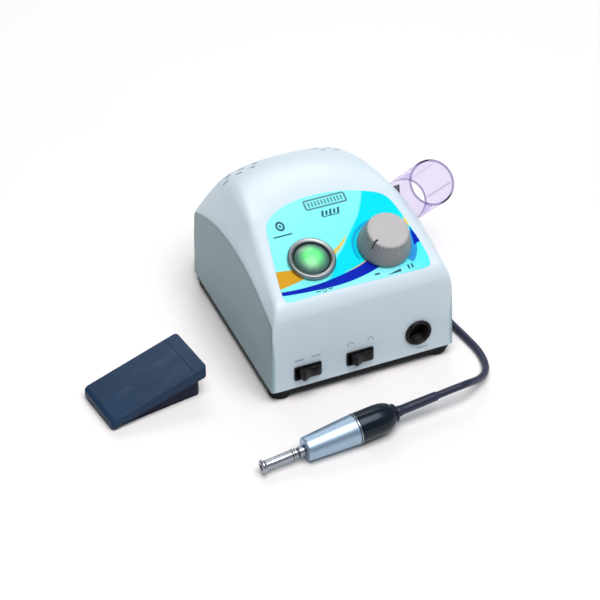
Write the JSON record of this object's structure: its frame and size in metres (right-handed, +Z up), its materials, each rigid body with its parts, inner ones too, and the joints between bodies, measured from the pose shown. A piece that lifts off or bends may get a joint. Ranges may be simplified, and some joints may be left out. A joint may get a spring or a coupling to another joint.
{
  "type": "dental micromotor set",
  "caption": "Table-top dental micromotor set: control box with lit push button, speed knob and rockers, clear handpiece holder, motor handpiece on its cord, and foot pedal.",
  "frame": {"origin": "middle of the set's footprint, on the surface it stands on", "axes": "+X to the right as the operator sees the control box, +Y from the box's front to its rear, +Z up"},
  "size_m": [0.3002, 0.3124, 0.1112],
  "materials": {
    "shell": "fine satin texture, cool white",
    "base": "satin black",
    "rubber": "matte",
    "label": "printed film under a clear satin face",
    "metal_ring": "satin",
    "lit_cap": "translucent, lit green",
    "knob": "soft satin",
    "black_plastic": "satin",
    "steel": "plain",
    "iron": "dull",
    "copper": "enamelled winding",
    "board": "solder mask",
    "alloy": "extruded",
    "anodised": "fine blasted and anodised pale blue",
    "chrome": "polished",
    "clear_violet": "clear acrylic with a violet tint",
    "cord_rubber": "satin dark navy",
    "pedal_top": "fine texture, dark blue-grey",
    "pedal_base": "fine texture, darker blue"
  },
  "bodies": {
    "control_box": {"upper_shell": "shell", "base_plate": "base", "foot_front_left": "rubber", "foot_front_right": "rubber", "foot_rear_left": "rubber", "foot_rear_right": "rubber", "case_screw_front_left": "steel", "case_screw_front_right": "steel", "case_screw_rear_left": "steel", "case_screw_rear_right": "steel", "label_panel": "label", "power_button_bezel": "metal_ring", "power_button_body": "black_plastic", "potentiometer": "steel", "mode_rocker_housing": "black_plastic", "direction_rocker_housing": "black_plastic", "motor_jack": "black_plastic", "motor_jack_insert": "black_plastic", "mains_inlet": "black_plastic", "fuse_holder": "black_plastic", "pedal_jack": "steel", "circuit_board": "board", "heat_sink": "alloy", "smoothing_capacitor": "black_plastic", "transformer_core": "iron", "transformer_winding": "copper", "holder_peg": "black_plastic"},
    "power_button": {"power_button_cap": "lit_cap"},
    "speed_control": {"speed_knob": "knob", "potentiometer_shaft": "steel"},
    "mode_switch": {"mode_rocker": "black_plastic"},
    "direction_switch": {"direction_rocker": "black_plastic"},
    "fuse": {"fuse_cap": "black_plastic"},
    "holder": {"holder_tube": "clear_violet", "holder_saddle": "black_plastic"},
    "handpiece": {"spigot": "chrome", "retaining_ring": "steel", "motor_housing": "anodised", "trim_ring": "chrome", "rear_cap": "black_plastic", "strain_relief": "cord_rubber", "stator_magnet": "iron", "front_bearing": "steel", "rear_bearing": "steel", "brush_holder": "black_plastic", "motor_cord": "cord_rubber", "motor_cord_coil": "cord_rubber", "motor_cord_tail": "cord_rubber", "motor_plug_grip": "black_plastic", "motor_plug_sleeve": "steel", "motor_plug_pins": "black_plastic"},
    "rotor": {"rotor": "copper", "motor_shaft": "steel", "drive_dog": "steel"},
    "pedal": {"pedal_base": "pedal_base", "pedal_hinge_pin": "steel", "pedal_spring": "steel", "pedal_microswitch": "black_plastic", "pedal_cord_gland": "cord_rubber"},
    "treadle": {"pedal_cover": "pedal_top"}
  },
  "joints": [
    {"name": "power_button_press", "type": "slide", "parent": "control_box", "child": "power_button", "axis": [0, 0.3387, -0.9409], "range_m": [0, 0.003], "stiffness_N_per_m": 500, "springref_m": -0.001},
    {"name": "speed_knob_turn", "type": "hinge", "parent": "control_box", "child": "speed_control", "pos_m": [0.0671, -0.01433, 0.08792], "axis": [0, -0.3387, 0.9409], "range_deg": [-268, 32]},
    {"name": "mode_switch_rock", "type": "hinge", "parent": "control_box", "child": "mode_switch", "pos_m": [-0.0044, -0.04216, 0.02167], "axis": [0, 0.0523, 0.9986], "range_deg": [-26, 0]},
    {"name": "direction_switch_rock", "type": "hinge", "parent": "control_box", "child": "direction_switch", "pos_m": [0.0356, -0.04216, 0.02167], "axis": [0, 0.0523, 0.9986], "range_deg": [-26, 0]},
    {"name": "fuse_cap_turn", "type": "hinge", "parent": "control_box", "child": "fuse", "pos_m": [0.0448, 0.1072, 0.0355], "axis": [0, 1, 0], "range_deg": [0, 45]},
    {"name": "holder_swivel", "type": "hinge", "parent": "control_box", "child": "holder", "pos_m": [0.1088, 0.06359, 0.06426], "axis": [1, 0, 0], "range_deg": [-45, 45]},
    {"name": "handpiece_lift", "type": "slide", "parent": "control_box", "child": "handpiece", "axis": [0, 0, 1], "range_m": [0, 0.02]},
    {"name": "rotor_spin", "type": "hinge", "parent": "handpiece", "child": "rotor", "pos_m": [-0.0657, -0.1094, 0.007], "axis": [0.9953, 0.0783, 0.0576], "continuous": true},
    {"name": "pedal_lift", "type": "slide", "parent": "control_box", "child": "pedal", "axis": [0, 0, 1], "range_m": [0, 0.1]},
    {"name": "treadle_press", "type": "hinge", "parent": "pedal", "child": "treadle", "pos_m": [-0.14028, -0.00713, 0.004], "axis": [-0.153, 0.9882, 0], "range_deg": [0, 4], "stiffness_Nm_per_rad": 6, "springref_deg": -4.58, "deforming": ["pedal_spring"]}
  ]
}
